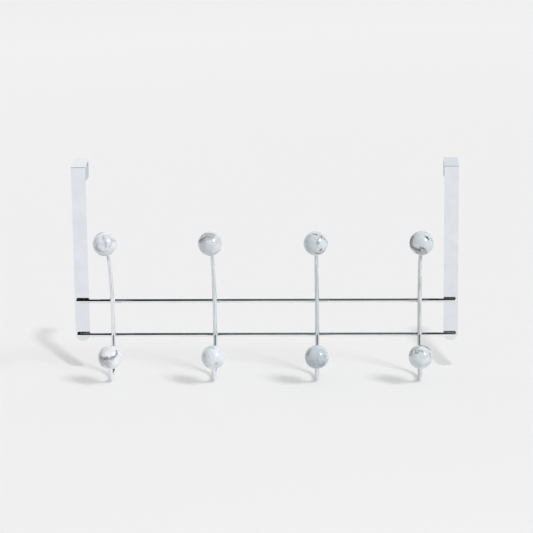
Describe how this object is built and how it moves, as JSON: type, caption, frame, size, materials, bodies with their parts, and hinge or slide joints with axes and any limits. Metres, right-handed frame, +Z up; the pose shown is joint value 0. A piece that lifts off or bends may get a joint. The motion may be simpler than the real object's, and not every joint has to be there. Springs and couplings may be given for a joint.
{
  "type": "over door hook",
  "caption": "Over-door hook rack: flat chrome straps bent over a door carry round rails and bent wire hooks, each with an arm above, a hook below and marble-effect ball tips.",
  "frame": {"origin": "the middle of the door's top front edge, level with the undersides of the flanges and in line with the backs of the legs", "axes": "+X along the door to the right seen from its front, +Y back through the door, +Z up"},
  "size_m": [0.405, 0.1273, 0.2229],
  "materials": {
    "chrome": "bright chrome plate on steel",
    "marble_resin": "glossy white resin with grey marble veins"
  },
  "bodies": {
    "root": {"left_strap": "chrome", "right_strap": "chrome", "upper_rail": "chrome", "lower_rail": "chrome", "hook_wire_1": "chrome", "hook_wire_2": "chrome", "hook_wire_3": "chrome", "hook_wire_4": "chrome", "upper_ball_1": "marble_resin", "upper_ball_2": "marble_resin", "upper_ball_3": "marble_resin", "upper_ball_4": "marble_resin", "lower_ball_1": "marble_resin", "lower_ball_2": "marble_resin", "lower_ball_3": "marble_resin", "lower_ball_4": "marble_resin"}
  },
  "joints": []
}
